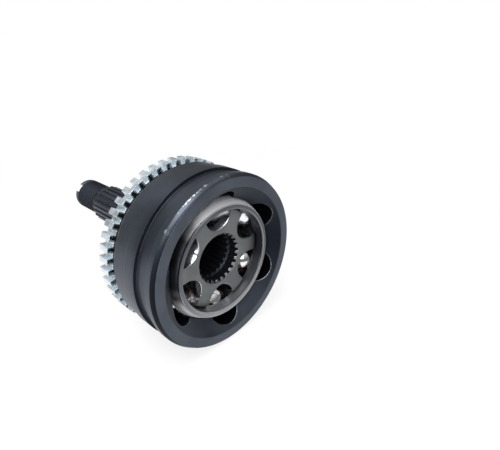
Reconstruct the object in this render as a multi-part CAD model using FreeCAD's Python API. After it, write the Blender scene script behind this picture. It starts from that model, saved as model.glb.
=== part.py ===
import FreeCAD, Part

import math
import os

# Constant velocity joint, outboard end of a front drive shaft, in millimetres.
#
# Every piece is drawn about one axis: local +Z runs from the open mouth of the bell (depth 0)
# to the threaded tip of the stub shaft, and azimuth 0 is local +X, where ball 1 sits.
# lay_down() then turns the joint on its side, mouth towards -Y, with ball 1 on top. The origin
# is on the joint's axis, in the middle of the journal that sits in the wheel hub.

# Ball set and the geometry that makes the joint run at constant velocity
BALL_COUNT = 6
BALL_DIAMETER = 17.462
BALL_PITCH_RADIUS = 30.0       # ball centres from the axis, joint straight
TRACK_OFFSET = 3.8             # track centres lie this far before and behind the joint centre
JOINT_CENTRE_DEPTH = 19.0      # joint centre behind the mouth face
BALL_TRACK_CLEARANCE = 0.2     # all round the ball in both races

# Cage
CAGE_OUTER_RADIUS = 33.4
CAGE_WALL = 5.1
CAGE_HALF_WIDTH = 16.0
COUNTERBORE_DROP = 1.4         # counterbore radius below the radius of the inner sphere
CAGE_RIM_CHAMFER = 0.4
CAGE_BORE_CHAMFER = 0.8
WINDOW_END_CLEARANCE = 0.35    # each side of the ball, along the axis
WINDOW_SIDE_CLEARANCE = 1.7    # each side of the ball, around the axis
WINDOW_CORNER_RADIUS = 3.0

# Inner race
RACE_CAGE_CLEARANCE = 0.25
RACE_FRONT_HALF = 10.7         # joint centre to the front face
RACE_REAR_HALF = 11.5
RACE_EDGE_CHAMFER = 0.6
BORE_TEETH = 24
BORE_MINOR_RADIUS = 12.2
BORE_TOOTH_DEPTH = 1.1
BORE_CHAMFER = 0.3
CLIP_GROOVE_SETBACK = 6.0      # from the front face
CLIP_GROOVE_WIDTH = 2.0
CLIP_GROOVE_DEPTH = 0.8        # below the tooth roots

# Bell
BELL_RADIUS = 45.0
MOUTH_CHAMFER_DEPTH = 2.5
MOUTH_CHAMFER_DROP = 1.2
MOUTH_BORE_RADIUS = 39.0       # inner edge of the flat mouth face
BELL_CAGE_CLEARANCE = 0.2
CONE_DEPTH = 7.2               # depth of the lead-in cone
CAVITY_DEPTH = 46.0            # flat floor of the cavity
TRACK_END_DEPTH = 40.5
BOOT_GROOVE_START = 5.9
BOOT_GROOVE_WIDTH = 8.8
BOOT_GROOVE_DROP = 1.55
BOOT_GROOVE_BEVEL = 0.7
STEP_DEPTH = 22.0
STEP_DROP = 0.6
REAR_CONE_START = 31.5
REAR_CONE_LENGTH = 4.1
REAR_CONE_DROP = 2.0
SHOULDER_DEPTH = 57.0          # face that the wheel bearing bears on
SHOULDER_RADIUS = 20.0
BELL_REAR_CHAMFER = 1.0

# Toothed wheel speed ring, one strip of sheet pressed into square waves
RING_WAVES = 48
RING_PROUD = 0.4               # wave tips above the bell
RING_WAVE_DEPTH = 2.6
RING_SHEET = 0.8
RING_WIDTH = 7.0
RING_SETBACK = 0.6             # behind the front end of its seat
RING_SEAT_OVERRUN = 0.4        # seat left bare behind the ring
TIP_LAND_SHARE = 0.50          # share of a wave that the land takes at the tip
BASE_LAND_SHARE = 0.68         # and where its flanks meet the root

# Stub shaft
JOURNAL_RADIUS = 12.6
JOURNAL_LENGTH = 9.0
HUB_TEETH = 22
HUB_SPLINE_RADIUS = 11.9
HUB_TOOTH_DEPTH = 1.05
HUB_SPLINE_END = 117.5
HUB_SPLINE_CHAMFER = 1.0
THREAD_RADIUS = 10.0
THREAD_END = 146.0
THREAD_CHAMFER = 1.6
THREAD_PITCH = 1.5
THREAD_DEPTH = 0.8              # from crest to root
THREAD_ROOT_SHARE = 0.12        # width of the root as a share of the pitch
THREAD_MOUTH_SHARE = 0.84       # width of the groove at the crest as a share of the pitch
THREAD_RUNOUT = 2.2             # plain length between the hub spline and the thread
THREAD_OVERCUT = 0.3            # how far the cutter stands proud of the crest
SLOT_WIDTH = 5.0
SLOT_DEPTH = 5.0
SLOT_AZIMUTH = -48.0
CENTRE_HOLE_RADIUS = 2.2
CENTRE_HOLE_DEPTH = 7.0

# Share of one spline tooth's pitch taken by the tooth, at its root and at its tip
TOOTH_ROOT_SHARE = 0.62
TOOTH_TIP_SHARE = 0.40

# Worked out from the sizes above
ball_radius = BALL_DIAMETER / 2
track_tube_radius = ball_radius + BALL_TRACK_CLEARANCE
track_circle_radius = math.hypot(BALL_PITCH_RADIUS, TRACK_OFFSET)
outer_track_centre = JOINT_CENTRE_DEPTH - TRACK_OFFSET
inner_track_centre = JOINT_CENTRE_DEPTH + TRACK_OFFSET
bell_sphere_radius = CAGE_OUTER_RADIUS + BELL_CAGE_CLEARANCE
cage_inner_radius = CAGE_OUTER_RADIUS - CAGE_WALL
counterbore_radius = cage_inner_radius - COUNTERBORE_DROP
race_sphere_radius = cage_inner_radius - RACE_CAGE_CLEARANCE
race_front = JOINT_CENTRE_DEPTH - RACE_FRONT_HALF
race_rear = JOINT_CENTRE_DEPTH + RACE_REAR_HALF
bore_major_radius = BORE_MINOR_RADIUS + BORE_TOOTH_DEPTH
ring_tip_radius = BELL_RADIUS + RING_PROUD
ring_root_radius = ring_tip_radius - RING_WAVE_DEPTH
ring_seat_radius = ring_root_radius - RING_SHEET
ring_seat_start = REAR_CONE_START + REAR_CONE_LENGTH
ring_front = ring_seat_start + RING_SETBACK
ring_seat_end = ring_front + RING_WIDTH + RING_SEAT_OVERRUN
journal_end = SHOULDER_DEPTH + JOURNAL_LENGTH
ball_azimuths = [360.0 * i / BALL_COUNT for i in range(BALL_COUNT)]
track_planes = ball_azimuths[:BALL_COUNT // 2]

ORIGIN = FreeCAD.Vector(0, 0, 0)
AXIS = FreeCAD.Vector(0, 0, 1)
JOINT_CENTRE = FreeCAD.Vector(0, 0, JOINT_CENTRE_DEPTH)


def polar(radius, degrees, depth=0.0):
    """Point at a radius and azimuth about the joint axis."""
    turn = math.radians(degrees)
    return FreeCAD.Vector(radius * math.cos(turn), radius * math.sin(turn), depth)


def revolved(points):
    """Solid of revolution of a closed outline of (radius, depth) points."""
    outline = [FreeCAD.Vector(radius, 0, depth) for radius, depth in points]
    face = Part.Face(Part.makePolygon(outline + outline[:1]))
    return face.revolve(ORIGIN, AXIS, 360)


def disc(radius, start, end):
    """Cylinder about the joint axis between two depths."""
    return Part.makeCylinder(radius, end - start, FreeCAD.Vector(0, 0, start), AXIS)


def ball_at(centre, radius):
    """Full sphere about a point."""
    return Part.makeSphere(radius, centre)


def arc_edge(radius, start, end):
    """Arc about the joint axis in the plane of depth 0, between two azimuths."""
    points = [polar(radius, turn) for turn in (start, (start + end) / 2, end)]
    return Part.Arc(*points).toShape()


def toothed_wire(count, low, high, low_share, high_share):
    """Closed outline of radial teeth: arcs on top and between them, straight flanks."""
    pitch = 360.0 / count
    edges = []
    for i in range(count):
        middle = pitch * i
        foot = pitch * low_share / 2
        crest = pitch * high_share / 2
        next_foot = middle + pitch - foot
        edges.append(Part.makeLine(polar(low, middle - foot), polar(high, middle - crest)))
        edges.append(arc_edge(high, middle - crest, middle + crest))
        edges.append(Part.makeLine(polar(high, middle + crest), polar(low, middle + foot)))
        edges.append(arc_edge(low, middle + foot, next_foot))
    return Part.Wire(edges)


def prism(wire, start, end):
    """Solid between two depths with the wire as its outline."""
    solid = Part.Face(wire).extrude(AXIS * (end - start))
    solid.translate(AXIS * start)
    return solid


def track_cutter(centre_depth):
    """Rings swept by the balls about one track centre; each ring makes two opposite tracks."""
    centre = FreeCAD.Vector(0, 0, centre_depth)
    rings = []
    for azimuth in track_planes:
        across = polar(1, azimuth + 90)
        rings.append(Part.makeTorus(track_circle_radius, track_tube_radius, centre, across))
    return rings[0].fuse(rings[1:])


def bell_body():
    """Bell from the mouth face back to the bearing shoulder, still without its cavity."""
    land = BELL_RADIUS - STEP_DROP
    cone_foot = land - REAR_CONE_DROP
    groove_end = BOOT_GROOVE_START + BOOT_GROOVE_WIDTH
    groove_floor = BELL_RADIUS - BOOT_GROOVE_DROP
    return revolved([
        (0, 0),
        (BELL_RADIUS - MOUTH_CHAMFER_DROP, 0),
        (BELL_RADIUS, MOUTH_CHAMFER_DEPTH),
        (BELL_RADIUS, BOOT_GROOVE_START),
        (groove_floor, BOOT_GROOVE_START + BOOT_GROOVE_BEVEL),
        (groove_floor, groove_end - BOOT_GROOVE_BEVEL / 2),
        (BELL_RADIUS, groove_end),
        (BELL_RADIUS, STEP_DEPTH),
        (land, STEP_DEPTH + STEP_DROP),
        (land, REAR_CONE_START),
        (cone_foot, ring_seat_start),
        (ring_seat_radius, ring_seat_start),
        (ring_seat_radius, ring_seat_end),
        (ring_seat_radius - BELL_REAR_CHAMFER, ring_seat_end + BELL_REAR_CHAMFER),
        (SHOULDER_RADIUS, SHOULDER_DEPTH - BELL_REAR_CHAMFER),
        (SHOULDER_RADIUS - BELL_REAR_CHAMFER, SHOULDER_DEPTH),
        (0, SHOULDER_DEPTH),
    ])


def bell_cavity():
    """Spherical seat of the cage with the lead-in cone and the ball tracks."""
    seat = ball_at(JOINT_CENTRE, bell_sphere_radius).common(disc(BELL_RADIUS, 0, CAVITY_DEPTH))
    reach = JOINT_CENTRE_DEPTH - CONE_DEPTH
    cone_end_radius = math.sqrt(bell_sphere_radius ** 2 - reach ** 2)
    cone = Part.makeCone(MOUTH_BORE_RADIUS, cone_end_radius, CONE_DEPTH, ORIGIN, AXIS)
    tracks = track_cutter(outer_track_centre).common(disc(BELL_RADIUS, -CONE_DEPTH, TRACK_END_DEPTH))
    return seat.fuse([cone, tracks])


def hub_spline():
    """Toothed length of the stub shaft, chamfered at both ends."""
    root = HUB_SPLINE_RADIUS - HUB_TOOTH_DEPTH
    wire = toothed_wire(HUB_TEETH, root, HUB_SPLINE_RADIUS, TOOTH_ROOT_SHARE, TOOTH_TIP_SHARE)
    teeth = prism(wire, journal_end, HUB_SPLINE_END)
    envelope = revolved([
        (0, journal_end),
        (HUB_SPLINE_RADIUS - HUB_SPLINE_CHAMFER, journal_end),
        (HUB_SPLINE_RADIUS, journal_end + HUB_SPLINE_CHAMFER),
        (HUB_SPLINE_RADIUS, HUB_SPLINE_END - HUB_SPLINE_CHAMFER),
        (HUB_SPLINE_RADIUS - HUB_SPLINE_CHAMFER, HUB_SPLINE_END),
        (0, HUB_SPLINE_END),
    ])
    return teeth.common(envelope)


def thread_cutter():
    """Groove of the thread, a trapezium carried along a helix that runs out past the tip."""
    start = HUB_SPLINE_END + THREAD_RUNOUT
    root_half = THREAD_PITCH * THREAD_ROOT_SHARE / 2
    mouth_half = THREAD_PITCH * THREAD_MOUTH_SHARE / 2
    flank = (mouth_half - root_half) / THREAD_DEPTH
    outer_half = mouth_half + flank * THREAD_OVERCUT
    root = THREAD_RADIUS - THREAD_DEPTH
    outer = THREAD_RADIUS + THREAD_OVERCUT
    helix = Part.makeLongHelix(THREAD_PITCH, THREAD_END + THREAD_PITCH - start, THREAD_RADIUS, 0, False)
    helix.translate(FreeCAD.Vector(0, 0, start))
    corners = [(outer, -outer_half), (root, -root_half), (root, root_half), (outer, outer_half)]
    section = Part.makePolygon([FreeCAD.Vector(x, 0, start + z) for x, z in corners + corners[:1]])
    return Part.Wire(helix).makePipeShell([section], True, True)


def threaded_end():
    """Blank of the threaded length with its tip chamfer, centre hole and cross slot."""
    end = revolved([
        (0, HUB_SPLINE_END),
        (THREAD_RADIUS, HUB_SPLINE_END),
        (THREAD_RADIUS, THREAD_END - THREAD_CHAMFER),
        (THREAD_RADIUS - THREAD_CHAMFER, THREAD_END),
        (0, THREAD_END),
    ])
    slot = Part.makeBox(2 * THREAD_RADIUS, SLOT_WIDTH, SLOT_DEPTH)
    slot.translate(FreeCAD.Vector(-THREAD_RADIUS, -SLOT_WIDTH / 2, THREAD_END - SLOT_DEPTH))
    slot.rotate(ORIGIN, AXIS, SLOT_AZIMUTH)
    centre_hole = disc(CENTRE_HOLE_RADIUS, THREAD_END - CENTRE_HOLE_DEPTH, THREAD_END)
    return end.cut([slot, centre_hole])


def outer_race():
    """One forging: the bell, its bearing journal, the hub spline and the threaded end.

    The thread is cut last, as on the lathe, which also keeps its long faces whole.
    """
    journal = disc(JOURNAL_RADIUS, SHOULDER_DEPTH, journal_end)
    bell = bell_body().cut(bell_cavity())
    forging = bell.fuse([journal, hub_spline(), threaded_end()]).removeSplitter()
    return forging.cut(thread_cutter())


def speed_ring():
    """Ring of pressed sheet, its roots gripping the seat behind the bell."""
    pitch = 360.0 / RING_WAVES
    wall_share = math.degrees(RING_SHEET / ring_root_radius) * 2 / pitch
    outside = toothed_wire(
        RING_WAVES, ring_root_radius, ring_tip_radius, BASE_LAND_SHARE, TIP_LAND_SHARE)
    inside = toothed_wire(
        RING_WAVES, ring_seat_radius, ring_tip_radius - RING_SHEET,
        BASE_LAND_SHARE - wall_share, TIP_LAND_SHARE - wall_share)
    back = ring_front + RING_WIDTH
    return prism(outside, ring_front, back).cut(prism(inside, ring_front, back))


def cage_window(azimuth):
    """Cutter for one window, rounded at its four corners."""
    height = BALL_DIAMETER + 2 * WINDOW_END_CLEARANCE
    width = BALL_DIAMETER + 2 * WINDOW_SIDE_CLEARANCE
    window = Part.makeBox(CAGE_OUTER_RADIUS, width, height)
    window.translate(FreeCAD.Vector(0, -width / 2, JOINT_CENTRE_DEPTH - height / 2))
    corners = [edge for edge in window.Edges if abs(edge.tangentAt(edge.FirstParameter).x) > 0.99]
    window = window.makeFillet(WINDOW_CORNER_RADIUS, corners)
    window.rotate(ORIGIN, AXIS, azimuth)
    return window


def cage():
    """Ball cage: a spherical band with six windows and a counterbored front."""
    front = JOINT_CENTRE_DEPTH - CAGE_HALF_WIDTH
    rear = JOINT_CENTRE_DEPTH + CAGE_HALF_WIDTH
    rim = math.sqrt(CAGE_OUTER_RADIUS ** 2 - CAGE_HALF_WIDTH ** 2)
    trim = revolved([
        (0, front),
        (rim - CAGE_RIM_CHAMFER, front),
        (rim + CAGE_RIM_CHAMFER, front + CAGE_RIM_CHAMFER),
        (2 * CAGE_OUTER_RADIUS, JOINT_CENTRE_DEPTH),
        (rim + CAGE_RIM_CHAMFER, rear - CAGE_RIM_CHAMFER),
        (rim - CAGE_RIM_CHAMFER, rear),
        (0, rear),
    ])
    band = ball_at(JOINT_CENTRE, CAGE_OUTER_RADIUS).common(trim)
    counterbore = disc(counterbore_radius, front, JOINT_CENTRE_DEPTH)
    lead = Part.makeCone(
        counterbore_radius + CAGE_BORE_CHAMFER, counterbore_radius,
        CAGE_BORE_CHAMFER, FreeCAD.Vector(0, 0, front), AXIS)
    hollow = ball_at(JOINT_CENTRE, cage_inner_radius)
    windows = [cage_window(azimuth) for azimuth in ball_azimuths]
    return band.cut([hollow, counterbore, lead] + windows)


def inner_race():
    """Star-shaped inner race with six tracks and a splined bore."""
    reach = max(RACE_FRONT_HALF, RACE_REAR_HALF)
    face_radius = math.sqrt(race_sphere_radius ** 2 - reach ** 2)
    trim = revolved([
        (0, race_front),
        (face_radius - RACE_EDGE_CHAMFER, race_front),
        (face_radius + RACE_EDGE_CHAMFER, race_front + RACE_EDGE_CHAMFER),
        (2 * race_sphere_radius, JOINT_CENTRE_DEPTH),
        (face_radius + RACE_EDGE_CHAMFER, race_rear - RACE_EDGE_CHAMFER),
        (face_radius - RACE_EDGE_CHAMFER, race_rear),
        (0, race_rear),
    ])
    body = ball_at(JOINT_CENTRE, race_sphere_radius).common(trim)
    wire = toothed_wire(
        BORE_TEETH, BORE_MINOR_RADIUS, bore_major_radius, TOOTH_ROOT_SHARE, TOOTH_TIP_SHARE)
    bore = prism(wire, race_front, race_rear)
    lead = bore_major_radius + BORE_CHAMFER
    fall = lead - BORE_MINOR_RADIUS
    front_lead = Part.makeCone(
        lead, BORE_MINOR_RADIUS, fall, FreeCAD.Vector(0, 0, race_front), AXIS)
    rear_lead = Part.makeCone(
        BORE_MINOR_RADIUS, lead, fall, FreeCAD.Vector(0, 0, race_rear - fall), AXIS)
    groove_start = race_front + CLIP_GROOVE_SETBACK
    groove = disc(
        bore_major_radius + CLIP_GROOVE_DEPTH, groove_start, groove_start + CLIP_GROOVE_WIDTH)
    return body.cut([bore, front_lead, rear_lead, groove, track_cutter(inner_track_centre)])


def ball(azimuth):
    """One bearing ball in the middle of its window."""
    return ball_at(polar(BALL_PITCH_RADIUS, azimuth, JOINT_CENTRE_DEPTH), ball_radius)


def lay_down(shape):
    """Turn the joint on its side, local Z to Y and local X to Z, about the journal's middle."""
    shape.Placement = FreeCAD.Placement(
        FreeCAD.Vector(0, -(SHOULDER_DEPTH + journal_end) / 2, 0),
        FreeCAD.Rotation(FreeCAD.Vector(1, 1, 1), -120))
    return shape


def export(name, shape):
    """Write one piece, laid down, as its own STEP file."""
    piece = lay_down(shape)
    if piece.ShapeType == "Compound" and len(piece.Solids) == 1:
        piece = piece.Solids[0]
    piece.exportStep("parts/" + name + ".step")
    box = piece.BoundBox
    print(name, len(piece.Solids), piece.isValid(), round(piece.Volume, 1),
          [round(v, 2) for v in (box.XMin, box.XMax, box.YMin, box.YMax, box.ZMin, box.ZMax)])


def main():
    os.makedirs("parts", exist_ok=True)
    export("outer_race", outer_race())
    export("abs_ring", speed_ring())
    export("cage", cage())
    export("inner_race", inner_race())
    for number, azimuth in enumerate(ball_azimuths, start=1):
        export("ball_%d" % number, ball(azimuth))


main()
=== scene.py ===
"""Looks of an outboard constant velocity joint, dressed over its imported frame.

Places are worked out in joint coordinates, in millimetres: a radius from the joint's axis, an
azimuth about it (0 is up, growing towards +X) and a depth behind the mouth face of the bell.
JointAxis.place() turns them into metres in the frame's own axes. A side is an azimuth and a
spread, both in degrees.
"""
import logging
import math
from collections.abc import Callable
from dataclasses import dataclass
from enum import Enum
from functools import reduce

import bmesh
import bpy
import numpy as np
from mathutils import Matrix, Vector


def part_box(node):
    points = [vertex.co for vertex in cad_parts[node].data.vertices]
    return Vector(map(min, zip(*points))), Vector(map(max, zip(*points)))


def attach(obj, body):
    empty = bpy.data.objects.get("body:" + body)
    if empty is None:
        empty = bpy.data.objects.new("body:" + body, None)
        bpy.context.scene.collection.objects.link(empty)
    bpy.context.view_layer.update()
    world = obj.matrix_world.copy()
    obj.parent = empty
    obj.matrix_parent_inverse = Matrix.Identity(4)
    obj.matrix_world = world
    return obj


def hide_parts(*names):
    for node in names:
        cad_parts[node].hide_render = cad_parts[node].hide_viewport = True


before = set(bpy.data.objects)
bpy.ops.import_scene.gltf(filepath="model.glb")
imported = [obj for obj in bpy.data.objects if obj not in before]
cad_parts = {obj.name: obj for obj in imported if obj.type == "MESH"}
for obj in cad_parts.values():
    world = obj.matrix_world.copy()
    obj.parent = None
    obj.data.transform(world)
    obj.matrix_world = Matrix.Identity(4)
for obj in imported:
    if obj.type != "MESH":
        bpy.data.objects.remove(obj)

LOG = logging.getLogger("cv_joint")
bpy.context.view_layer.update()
MM = 0.001
FULL_TURN = 2 * math.pi
WELD_DISTANCE = 2e-6
THINNEST_EDGE = 5e-7
NORMAL_WEIGHT = 60  # how much more a large face counts in a point's shading
WHITE = (1.0, 1.0, 1.0)

Array = np.ndarray
Material = bpy.types.Material
Pair = tuple[float, float]
Triple = tuple[float, float, float]


# --- Geometry helpers ------------------------------------------------------------------------

@dataclass(frozen=True)
class JointAxis:
    """The joint's axis in the frame: where it runs and where depth 0 lies, in metres."""

    x: float
    z: float
    mouth_y: float

    @classmethod
    def from_frame(cls) -> "JointAxis":
        """Axis read from the box of the outer race, which is round about it."""
        low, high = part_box("outer_race")
        return cls((low[0] + high[0]) / 2, (low[2] + high[2]) / 2, low[1])

    def place(self, radius: Array, azimuth: Array, depth: Array) -> Array:
        """Points in metres from joint coordinates.

        Args:
            radius: distance from the axis in millimetres.
            azimuth: angle from straight up towards +X in radians.
            depth: distance behind the mouth face in millimetres.

        Returns:
            Array of the broadcast shape with a last dimension of x, y and z.
        """
        radius, azimuth, depth = np.broadcast_arrays(radius, azimuth, depth)
        return np.stack([
            self.x + MM * radius * np.sin(azimuth),
            self.mouth_y + MM * depth,
            self.z + MM * radius * np.cos(azimuth),
        ], axis=-1)


def azimuths(count: int) -> Array:
    """Evenly spaced azimuths round a full turn, as a column."""
    return (np.arange(count) * FULL_TURN / count)[:, None]


def rounded(corners: list[Triple], steps: int = 4) -> Array:
    """Outline with its corners softened.

    Each corner P becomes the quadratic curve (1-t)^2 A + 2t(1-t) P + t^2 B, with A and B at the
    corner's reach before and after it.

    Args:
        corners: two coordinates and a reach for each corner. The first and last stay sharp.
        steps: points along each softened corner.

    Returns:
        Array of points with two columns.
    """
    table = np.asarray(corners, float)
    points, inner, reach = table[:, :2], table[1:-1, :2], table[1:-1, 2:]
    before, after = points[:-2] - inner, points[2:] - inner
    start = inner + before / np.linalg.norm(before, axis=1, keepdims=True) * reach
    end = inner + after / np.linalg.norm(after, axis=1, keepdims=True) * reach
    t = np.linspace(0, 1, steps)[None, :, None]
    curve = (1 - t) ** 2 * start[:, None] + 2 * t * (1 - t) * inner[:, None] + t ** 2 * end[:, None]
    return np.vstack([points[:1], curve.reshape(-1, 2), points[-1:]])


def soft_max(a: Array, b: Array, blend: float) -> Array:
    """Larger of two fields with the crease between them rounded: (a+b+sqrt((a-b)^2+k^2))/2."""
    return 0.5 * (a + b + np.sqrt((a - b) ** 2 + blend ** 2))


def soft_min(a: Array, b: Array, blend: float) -> Array:
    """Smaller of two fields with the crease between them rounded."""
    return -soft_max(-a, -b, blend)


def smooth_step(value: Array, zero_at: float, one_at: float) -> Array:
    """0 at one value, 1 at another that may be the lower one, and 3t^2-2t^3 between them."""
    t = np.clip((value - zero_at) / (one_at - zero_at), 0, 1)
    return t * t * (3 - 2 * t)


def near(value: Array, centre: Array | float, width: float) -> Array:
    """Bell curve exp(-((value-centre)/width)^2)."""
    return np.exp(-((value - centre) / width) ** 2)


def facing(azimuth: Array, side: Pair) -> Array:
    """Bell curve round a side: 1 at its azimuth, falling away over its spread both ways."""
    apart = (np.degrees(azimuth) - side[0] + 180) % 360 - 180
    return near(apart, 0.0, side[1])


def raised(strength: Pair, share: Array) -> Array:
    """First strength everywhere, with the second added as far as the share says."""
    return strength[0] + strength[1] * share


@dataclass(frozen=True)
class Teeth:
    """A ring of straight-sided teeth with softened corners, in millimetres."""

    count: int
    depth: float
    foot: float = 0.62  # width at the root as a share of the pitch, and at the crest
    crest: float = 0.40

    def height(self, azimuth: Array) -> Array:
        """Share of the tooth depth that stands at each azimuth."""
        # With d the distance to the nearest tooth centre as a share of the pitch, the height rises
        # from 0 where d is half the foot's width to 1 where it is half the crest's.
        apart = np.abs((azimuth * self.count / FULL_TURN + 0.5) % 1.0 - 0.5)
        return smooth_step(apart, self.foot / 2, self.crest / 2)


@dataclass
class Grid:
    """A surface as a grid of points, with values that belong to its points."""

    points: Array
    wrap_rows: bool = True
    wrap_columns: bool = False
    wear_and_shade: Array | None = None

    def faces(self, first: int) -> Array:
        """Corner indices of the grid's quads.

        Args:
            first: index of the grid's first vertex in the mesh.

        Returns:
            Integer array of quads.
        """
        rows, columns = self.points.shape[:2]
        index = np.arange(rows * columns).reshape(rows, columns) + first
        if self.wrap_rows:
            index = np.vstack([index, index[:1]])
        if self.wrap_columns:
            index = np.hstack([index, index[:, :1]])
        quads = np.stack([index[:-1, :-1], index[1:, :-1], index[1:, 1:], index[:-1, 1:]], axis=-1)
        return quads.reshape(-1, 4)


def signed_volume(vertices: Array, quads: Array) -> float:
    """Volume inside closed quads, from the sum of a.(b x c)/6 over their triangles.

    Args:
        vertices: the points, one a row.
        quads: corner indices, one quad a row.

    Returns:
        The volume, negative where the faces point inwards.
    """
    a, b, c, d = (vertices[quads[:, i]] for i in range(4))
    return float((np.einsum("ij,ij->i", a, np.cross(b, c)) +
                  np.einsum("ij,ij->i", a, np.cross(c, d))).sum() / 6)


def linked(name: str, data: bpy.types.ID) -> bpy.types.Object:
    """Object made from its data and linked to the scene.

    Args:
        name: the object's name.
        data: its mesh, camera or light.

    Returns:
        The object.
    """
    made = bpy.data.objects.new(name, data)
    bpy.context.scene.collection.objects.link(made)
    return made


def solid_piece(name: str, grids: list[Grid]) -> bpy.types.Object:
    """Closed, smooth piece made of one or more grids, with its faces pointing outwards.

    Args:
        name: the piece's name.
        grids: its surfaces, which meet edge to edge.

    Returns:
        The object, linked to the scene, at the origin.
    """
    vertices = np.vstack([grid.points.reshape(-1, 3) for grid in grids])
    firsts = np.cumsum([0] + [grid.points.shape[0] * grid.points.shape[1] for grid in grids])
    quads = np.vstack([grid.faces(first) for grid, first in zip(grids, firsts)])
    if signed_volume(vertices - vertices.mean(axis=0), quads) < 0:
        quads = quads[:, ::-1]
    wear_and_shade = np.concatenate([
        (np.zeros(grid.points.shape[:2]) if grid.wear_and_shade is None else grid.wear_and_shade).ravel()
        for grid in grids])
    mesh = bpy.data.meshes.new(name)
    mesh.from_pydata(vertices.tolist(), [], quads.tolist())
    mesh.attributes.new("wear_and_shade", "FLOAT", "POINT").data.foreach_set("value", wear_and_shade.astype(np.float32))
    shaped = bmesh.new()
    shaped.from_mesh(mesh)
    bmesh.ops.remove_doubles(shaped, verts=shaped.verts, dist=WELD_DISTANCE)
    bmesh.ops.dissolve_degenerate(shaped, edges=shaped.edges, dist=THINNEST_EDGE)
    shaped.to_mesh(mesh)
    shaped.free()
    mesh.polygons.foreach_set("use_smooth", np.ones(len(mesh.polygons), bool))
    piece = linked(name, mesh)
    normals = piece.modifiers.new("even_shading", "WEIGHTED_NORMAL")
    normals.keep_sharp = False
    normals.weight = NORMAL_WEIGHT
    LOG.info("%s: %d vertices, %d faces", name, len(mesh.vertices), len(mesh.polygons))
    return piece


def fit(piece: bpy.types.Object, material: Material, body: str,
        replaced: tuple[str, ...] = ()) -> None:
    """Dress a finished piece.

    Args:
        piece: the piece.
        material: its material.
        body: the moving body that it rides on.
        replaced: nodes of the frame that it stands for.
    """
    piece.data.materials.append(material)
    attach(piece, body)
    if replaced:
        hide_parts(*replaced)


# --- Shader helpers --------------------------------------------------------------------------

class Term:
    """A shader value that ordinary arithmetic can be done with."""

    def __init__(self, shader: "Shader", socket: bpy.types.NodeSocket | None) -> None:
        """Wrap one output socket of a shader's tree, or none for a node without outputs."""
        self.shader = shader
        self.socket = socket

    def _join(self, operation: str, *values: "Term | float") -> "Term":
        """Result of one Math node on these values."""
        return self.shader.add("Math", {"operation": operation}, dict(enumerate(values)))

    def __add__(self, other: "Term | float") -> "Term":
        """self + other."""
        return self._join("ADD", self, other)

    __radd__ = __add__

    def __sub__(self, other: "Term | float") -> "Term":
        """self - other."""
        return self._join("SUBTRACT", self, other)

    def __rsub__(self, other: float) -> "Term":
        """other - self."""
        return self._join("SUBTRACT", other, self)

    def __mul__(self, other: "Term | float") -> "Term":
        """self * other."""
        return self._join("MULTIPLY", self, other)

    __rmul__ = __mul__

    def ramp(self, low: float, high: float) -> "Term":
        """Smooth step on this value.

        Args:
            low: value that gives 0.
            high: value that gives 1.

        Returns:
            The step as a term.
        """
        return self.shader.add(
            "MapRange", {"interpolation_type": "SMOOTHSTEP"},
            {"Value": self, "From Min": low, "From Max": high})


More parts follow.
